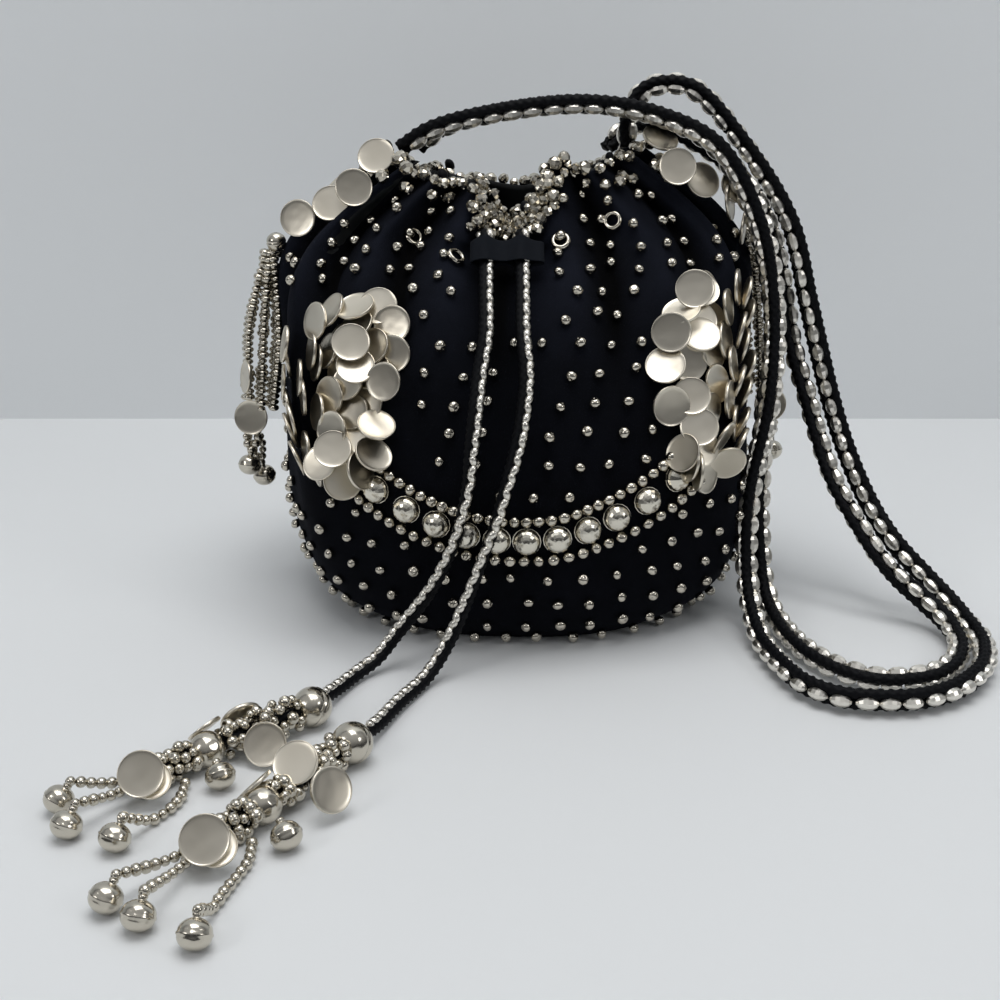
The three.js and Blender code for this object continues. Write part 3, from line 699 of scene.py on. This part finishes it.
# Garland: pressed metal domes sewn in a swag across the front, edged above and below by
# a row of the small round beads.
DOME_RADIUS = 0.005
DOME_HIGH = 0.0042
DOME_FLANGE = 0.0003
GARLAND_COUNT = 11
GARLAND_PITCH = 0.01036
EDGING_GAP = 0.0072
EDGING_PITCH = 0.0046
pressed = finish_of("pressed white metal", "#dcd7ca", Metallic=1.0, Roughness=0.2)
dome_profile = [(0, -0.0004), (DOME_RADIUS, -0.0004), (DOME_RADIUS, DOME_FLANGE)]
for a in np.linspace(0, 1.35, 7):
    dome_profile.append((DOME_RADIUS * 0.97 * math.cos(a), DOME_FLANGE + DOME_HIGH * math.sin(a)))
dome_shape = turned(dome_profile + [(0, DOME_FLANGE + DOME_HIGH)], 16)
for n in range(GARLAND_COUNT):
    x = GARLAND_MID_X + GARLAND_PITCH * (n - (GARLAND_COUNT - 1) / 2)
    h = garland_height(x)
    a = front_turn(x, h)
    out = facing(a, h)
    mesh = copies(dome_shape, [(wall(a, h) + 0.0009 * out, out, 1.0)])
    dome = solid(f"garland_dome_piece_{n + 1}", *mesh, pressed, smooth=False)
    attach(dome, "bag")
    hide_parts(f"garland_dome_{n + 1}")
spots = []
for gap in (-EDGING_GAP, EDGING_GAP):
    x = GARLAND_MID_X - 0.054
    while x < GARLAND_MID_X + 0.056:
        slope = 2 * GARLAND_BEND * (x - GARLAND_LOW_X)
        tilt = math.hypot(1, slope)
        h = garland_height(x) + gap / tilt
        a = front_turn(x - gap * slope / tilt, h)
        spots.append((wall(a, h) + 0.0014 * facing(a, h), rng.normal(size=3), 1.05))
        spread = abs(facing(a, h)[1])
        x += EDGING_PITCH / tilt * spread
edging = solid("garland_beads", *copies(bead_shape(STUD_RADIUS, 0.0018, 12, 7), spots), plated)
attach(edging, "bag")

# Neck rings: closed rings of plated wire sewn round the gathered neck at the front and the
# back, which lead the drawstring.
RING_RADIUS = 0.0027
RING_WIRE = 0.0008
for name, x, h, back in (("front_1", -0.0215, 0.138, 1), ("back_1", -0.0215, 0.138, -1),
                         ("front_2", 0.0155, 0.142, 1), ("back_2", 0.0155, 0.142, -1),
                         ("front_3", 0.0345, 0.146, 1), ("front_4", -0.038, 0.142, 1)):
    wire_turns = np.linspace(0, 2 * np.pi, 9)
    loop = [(RING_RADIUS + RING_WIRE * math.cos(b), RING_WIRE * math.sin(b)) for b in wire_turns]
    a = front_turn(x, h)
    if back < 0:
        a += math.pi
    out = facing(a, h)
    verts, faces = copies(turned(loop, 28), [(wall(a, h) + 0.0011 * out, out + (0.2, 0, 0.25), 1.0)])
    ring = solid(f"neck_wire_ring_{name}", verts, faces, plated)
    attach(ring, "bag")
    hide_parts(f"neck_ring_{name}")

# Cord slider: a strip of smooth dark cloth folded round both drawstring ends and stitched
# between them, so that it has two tunnels and its lower edge bows over each cord.
SLIDER_MID = np.array([-0.005, -0.0365, 0.1365])
SLIDER_AXIS = np.array([0.0, -0.755, -0.656]) / math.hypot(0.755, 0.656)
SLIDER_OUT = np.array([0.0, -0.656, 0.755]) / math.hypot(0.755, 0.656)
SLIDER_HALF = 0.0055
SLIDER_HALF_WIDE = 0.013
SLIDER_THICK = 0.0007
SLIDER_SIDES = 96
TUNNEL_X = 0.0063
TUNNEL_WIDE = 0.0034


def slider_loop(t, trim):
    """The slider's section: a flat band that swells over each cord, in (sideways, outward).

    t runs once round; the sideways place is a stretched cosine and the outward one the
    band's half thickness plus a bell over each tunnel, faded to nothing at the two ends.
    """
    x = 0.0015 + (SLIDER_HALF_WIDE - trim) * np.cos(t)
    bells = np.exp(-((x - TUNNEL_X) / TUNNEL_WIDE) ** 2) + np.exp(-((x + TUNNEL_X) / TUNNEL_WIDE) ** 2)
    fade = np.minimum(1, 2.2 * np.abs(np.sin(t))) * np.sign(np.sin(t))
    return x, (0.0011 + 0.0024 * bells - trim) * fade, bells


def slider_rings(trim):
    """Rings of the slider along its axis; both edges bow out over the tunnels."""
    t = np.linspace(0, 2 * np.pi, SLIDER_SIDES, endpoint=False)
    x, out, bells = slider_loop(t, trim)
    section = SLIDER_MID + np.outer(x, (1, 0, 0)) + np.outer(out, SLIDER_OUT)
    rings = []
    for k in np.linspace(-1, 1, 17):
        down = k * SLIDER_HALF * (0.82 + 0.18 * bells) - trim * k
        rings.append(section + np.outer(down, SLIDER_AXIS))
    return rings


rings = slider_rings(0.0) + slider_rings(SLIDER_THICK)[::-1]
faces = grid_faces(len(rings), SLIDER_SIDES)
first_row = np.arange(SLIDER_SIDES)
last_row = (len(rings) - 1) * SLIDER_SIDES + first_row
closing = [last_row, np.roll(last_row, -1), np.roll(first_row, -1), first_row]
faces += np.stack(closing, -1).tolist()
folded = finish_of("dark folded cloth", "#0c1017", Roughness=0.85, Specular_IOR_Level=0.15)
slider = solid("slider_cloth", np.vstack(rings), faces, folded)
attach(slider, "slider")
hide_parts("cord_slider")

# Floor tassels: on the end of each drawstring a large two-part ball, discs, a second ball
# with a bell, an end disc and three strings of small beads that end in two-part bells.
# The cord between them is covered with small beads.
TASSELS = {
    "left": {
        "name": "rear_tassel",
        "discs": {"disc_a": ((-0.077, -0.150, 0.0072), (-0.15, -0.84, 0.5)),
                  "disc_b": ((-0.087, -0.135, 0.0078), (-0.5, 0.75, 0.45)),
                  "end_disc": ((-0.1085, -0.172, 0.0106), (0.05, -0.82, 0.57))},
        "mid_bell": (-0.088, -0.1635, 0.0046),
        "bells": ((-0.1315, -0.1755, 0.0044), (-0.1255, -0.188, 0.0044), (-0.1105, -0.194, 0.0044)),
        "third_string": ((-0.0985, -0.1635, 0.0022), (-0.0983, -0.171, 0.0019), (-0.1003, -0.1772, 0.0019),
                         (-0.1033, -0.1818, 0.0019), (-0.1075, -0.1875, 0.0023)),
        "spare_discs": (((-0.0965, -0.1440, 0.0092), (-0.6, 0.35, 0.7)),
                        ((-0.1060, -0.1712, 0.0080), (0.2, -0.6, 0.78))),
    },
    "right": {
        "name": "front_tassel",
        "discs": {"disc_a": ((-0.0650, -0.1675, 0.0115), (-0.15, -0.62, 0.76)),
                  "disc_b": ((-0.0535, -0.178, 0.0092), (0.62, -0.6, 0.5)),
                  "end_disc": ((-0.0835, -0.204, 0.0106), (0.05, -0.8, 0.6))},
        "mid_bell": (-0.064, -0.1935, 0.0046),
        "bells": ((-0.1055, -0.220, 0.0044), (-0.0955, -0.227, 0.0044), (-0.080, -0.234, 0.0044)),
        "third_string": ((-0.0735, -0.1935, 0.0022), (-0.0731, -0.201, 0.0019), (-0.0747, -0.2073, 0.0019),
                         (-0.0768, -0.214, 0.0019), (-0.0784, -0.2204, 0.0019), (-0.0793, -0.2268, 0.0023)),
        "spare_discs": (((-0.0755, -0.1755, 0.0092), (-0.65, 0.25, 0.7)),
                        ((-0.0809, -0.2032, 0.0080), (0.2, -0.6, 0.78))),
    },
}
BALL_RADIUS = 0.0065
MID_BALL_RADIUS = 0.0056
BELL_RADIUS = 0.0044
STRING_BEAD = 0.0017
STRING_PITCH = 0.0031
RING_PITCH = 0.0030
RING_BEADS = 6


def threaded(string, least, most):
    """Beads of uneven size along a string."""
    sizes = rng.uniform(least, most, len(string))
    return list(zip(string, np.gradient(string, axis=0), sizes))


def bell_shape(radius, segments=26):
    """A two-part bell about Z: two flattened domes, a thin pinched rim and a collar.

    Each dome follows an ellipse 0.82 as high as it is wide; the rim stands out a little.
    """
    steps = np.linspace(0.04, 1.33, 9)
    dome = [(radius * math.cos(a), 0.0004 + radius * 0.82 * math.sin(a)) for a in steps]
    below = [(r, -z) for r, z in dome[::-1]]
    rim = [(radius * 1.05, -0.0002), (radius * 1.05, 0.0002)]
    collar = [(radius * r, radius * z) for r, z in ((0.24, 0.92), (0.3, 1.05), (0.24, 1.18), (0, 1.22))]
    return turned([(0, -radius * 0.87)] + below + rim + dome + collar, segments)


def lies_before(place, disc, way):
    """True for a place in front of a disc's face, or in it, and within the disc's width."""
    way = np.array(way) / np.linalg.norm(way)
    off = place - disc
    high = off @ way
    return high > -0.0020 and np.linalg.norm(off - high * way) < DISC_RADIUS


ball_steps = np.linspace(0.06, 1.36, 11)
ball_profile = [(math.cos(a), -0.02 - 0.96 * math.sin(a)) for a in ball_steps[::-1]]
ball_profile += [(0.955, -0.025), (0.955, 0.025)]
ball_profile += [(math.cos(a), 0.02 + 0.96 * math.sin(a)) for a in ball_steps]
ball_shape = turned([(0, -0.9)] + ball_profile + [(0, 0.9)], 32)
small_bead = bead_shape(STRING_BEAD, 0.0016, 10, 6)
bell = bell_shape(BELL_RADIUS)
for hand, tassel in TASSELS.items():
    name = tassel["name"]
    ball, mid, knot = [np.array(p) for p in TASSEL_CORES[hand]]
    line = (mid - ball) / np.linalg.norm(mid - ball)
    pieces = draw_parts[hand]["on"]

    def keep(label, mesh, material, node=True):
        """Puts a tassel piece on the bag and on its drawstring, in place of its solid."""
        piece = solid(f"{name}_{label}_piece", *mesh, material)
        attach(piece, "bag")
        if node:
            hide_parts(f"{name}_{label}")
        pieces.append(piece)

    keep("ball", copies(ball_shape, [(ball, line + (0, 0, 0.5), BALL_RADIUS)]), plated)
    keep("mid_ball", copies(ball_shape, [(mid, (-line[1], line[0], 0.8), MID_BALL_RADIUS)]), plated)
    for label, (place, way) in tassel["discs"].items():
        keep(label, copies(disc_shape, [(place, way, 1.0)]), satin_metal)
    spare = [(place, way, 0.85) for place, way in tassel["spare_discs"]]
    keep("spare_discs", copies(disc_shape, spare), satin_metal, node=False)
    place = np.array(tassel["mid_bell"])
    keep("mid_bell", copies(bell, [(place, (mid - place) * 90 + (0, 0, 0.9), 1.0)]), plated)
    spots = []
    for n, end in enumerate(tassel["bells"], 1):
        end = np.array(end)
        start = knot if n < 3 else np.array(tassel["third_string"][-2])
        lean = (end - start) / np.linalg.norm(end - start)
        stand = -0.6 * lean + (0, 0, 0.8)
        top = end + stand * BELL_RADIUS * 1.4
        sag = knot + 0.55 * (top - knot) - (0, 0, 0.0012)
        course = [knot, sag, top] if n < 3 else [*tassel["third_string"][:-1], top]
        string = run(course, STRING_PITCH, STRING_BEAD + 0.0001)[0]
        keep(f"string_{n}", copies(small_bead, threaded(string, 0.85, 1.08)), plated)
        keep(f"bell_{n}", copies(bell, [(end, stand, 1.0)]), plated)
    lengths = ((ball, mid, 0.18, 0.88, 0.0040), (mid, knot, 0.30, 1.30, 0.0038))
    for start, end, first, last, reach in lengths:
        way = end - start
        sideways = np.cross(way, (0, 0, 1))
        sideways = sideways / np.linalg.norm(sideways)
        over = np.cross(sideways, way) / np.linalg.norm(way)
        for row, share in enumerate(np.arange(first, last, RING_PITCH / np.linalg.norm(way))):
            for j in range(RING_BEADS):
                a = 2 * math.pi * (j + 0.5 * (row % 2) + rng.uniform(-0.3, 0.3)) / RING_BEADS
                out = reach * rng.uniform(0.7, 1.3)
                place = start + share * way + out * (math.cos(a) * sideways + math.sin(a) * over)
                size = rng.uniform(0.8, 1.35)
                place[2] = max(place[2] + 0.0006, STRING_BEAD * size * 1.02)
                if not any(lies_before(place, q, faced) for q, faced in tassel["discs"].values()):
                    spots.append((place, rng.normal(size=3), size))
    keep("small_beads", copies(small_bead, spots), plated, node=False)

# Side tassels: a bunch of bead strings that hangs from a ball at each shoulder and ends in
# a disc and two bells. Each swings outward from the stitched loop above its ball.
SIDE_BALL_RADIUS = 0.0037
SIDE_TOP_Z = 0.1315
SIDE_LOW_Z = 0.0745
SIDE_PITCH = 0.0024
SIDE_STRINGS = ((-0.0052, 0.0018), (-0.0006, 0.0024), (0.0040, 0.0018))
SIDE_BELLS = ((0.1045, 0.049, -0.003), (0.1005, 0.042, 0.005))
flat_bead = bead_shape(0.0021, 0.00125, 10, 5, 0.35)
for hand, sign, y in (("left", -1, -0.005), ("right", 1, 0.014)):
    body = f"{hand}_tassel"

    def hang(label, mesh, material, node=True):
        """Puts a side tassel piece on its swinging body, in place of its solid."""
        piece = solid(f"{hand}_side_{label}_piece", *mesh, material)
        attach(piece, body)
        if node:
            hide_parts(f"{hand}_side_{label}")

    hang("ball", copies(ball_shape, [((sign * 0.0895, y, 0.1355), (0, 0, 1), SIDE_BALL_RADIUS)]), plated)
    for n, shift in ((1, -1), (2, 1)):
        spots = []
        for out, away in SIDE_STRINGS:
            top_z = SIDE_TOP_Z + rng.uniform(-0.001, 0.001)
            top = np.array([sign * (0.0925 + 0.3 * out), y + shift * away * 0.5, top_z])
            low_z = SIDE_LOW_Z + rng.uniform(-0.004, 0.003)
            low = np.array([sign * (0.1002 + out + 0.0011 * shift), y + shift * away * 1.2, low_z])
            bow = (top + low) / 2 + (sign * (0.5 * out + rng.uniform(-0.0002, 0.0012)), shift * 0.0008, 0)
            string = run([top, bow, low], SIDE_PITCH, 0.0)[0]
            spots += threaded(string, 0.72, 1.2)
        hang(f"string_{n}", copies(flat_bead, spots), plated)
    disc_place = np.array([sign * 0.103, y - 0.002, 0.068])
    hang("disc", copies(disc_shape, [(disc_place, (sign * 0.2, -1, 0.2), 1.0)]), satin_metal)
    side_on = [((sign * 0.1030, y - 0.0065, 0.0855), (sign * 0.9, -0.42, 0.15), 0.92)]
    hang("spare_disc", copies(disc_shape, side_on), satin_metal, node=False)
    spots = []
    for n, (x, z, dy) in enumerate(SIDE_BELLS, 1):
        place = np.array([sign * x, y + dy, z])
        start = disc_place + (0, 0.002, -0.0055)
        hang(f"bell_{n}", copies(bell, [(place, start - place, 1.0)]), plated)
        end = place + (start - place) / np.linalg.norm(start - place) * BELL_RADIUS * 1.35
        for aside in (-0.0022, 0.0022):
            over = np.array([aside, 0, 0])
            string = run([start + over, (start + end) / 2 + over, end], STRING_PITCH, 0.0)[0]
            spots += threaded(string, 0.85, 1.1)
    hang("end_beads", copies(small_bead, spots), plated, node=False)

# Stage: a pale table top, a pale grey wall behind it, soft lamps and a plain room round about.
WALL_Y = 0.222
table_top = finish_of("pale table", "#e2e4e5", Roughness=0.55)
wall_paint = finish_of("pale grey wall", "#e9ecee", Roughness=0.9, Emission_Strength=0.01)
tree = wall_paint.node_tree
behind = add_node(tree, "ShaderNodeNewGeometry")
clear = add_node(tree, "ShaderNodeBsdfTransparent")
painted = tree.nodes["Principled BSDF"]
mix = add_node(tree, "ShaderNodeMixShader", None, {
    0: behind.outputs["Backfacing"], 1: painted.outputs["BSDF"], 2: clear.outputs["BSDF"],
})
tree.links.new(mix.outputs["Shader"], tree.nodes["Material Output"].inputs["Surface"])
floor = solid("table", [(-3, -3, 0), (3, -3, 0), (3, 3, 0), (-3, 3, 0)], [[0, 1, 2, 3]], table_top)
upright = [(-3, WALL_Y, 0), (3, WALL_Y, 0), (3, WALL_Y, 2.4), (-3, WALL_Y, 2.4)]
back = solid("wall", upright, [[0, 1, 2, 3]], wall_paint)


def lamp(name, energy, size, place, aim):
    """A square soft lamp at a place, pointed at another."""
    data = bpy.data.lights.new(name, "AREA")
    data.energy = energy
    data.size = size
    made = bpy.data.objects.new(name, data)
    made.location = place
    way = np.array(aim, float) - np.array(place, float)
    lean = math.acos(-way[2] / np.linalg.norm(way))
    made.rotation_euler = (lean, 0, math.atan2(way[1], way[0]) - math.pi / 2)
    scene.collection.objects.link(made)


lamp("lamp_above", 8.5, 0.9, (0.05, -0.08, 1.25), (0, 0, 0.05))
lamp("lamp_left", 1.6, 0.35, (-0.9, -0.75, 0.75), (0, 0, 0.08))
lamp("lamp_right", 1.2, 0.3, (0.95, -0.6, 0.7), (0, 0, 0.08))

room = bpy.data.worlds.new("room")
scene.world = room
room.use_nodes = True
tree = room.node_tree
coords = add_node(tree, "ShaderNodeTexCoord")
split = add_node(tree, "ShaderNodeSeparateXYZ", None, {"Vector": coords.outputs["Generated"]})
height = add_node(tree, "ShaderNodeValToRGB", None, {"Fac": split.outputs["Z"]})
height.color_ramp.elements[0].position = 0.1
height.color_ramp.elements[0].color = (0.03, 0.03, 0.032, 1)
height.color_ramp.elements[1].position = 0.75
height.color_ramp.elements[1].color = (0.95, 0.97, 1.0, 1)
backdrop = tree.nodes["Background"]
backdrop.inputs["Strength"].default_value = 0.45
tree.links.new(height.outputs["Color"], backdrop.inputs["Color"])
scene.view_settings.view_transform = "Standard"
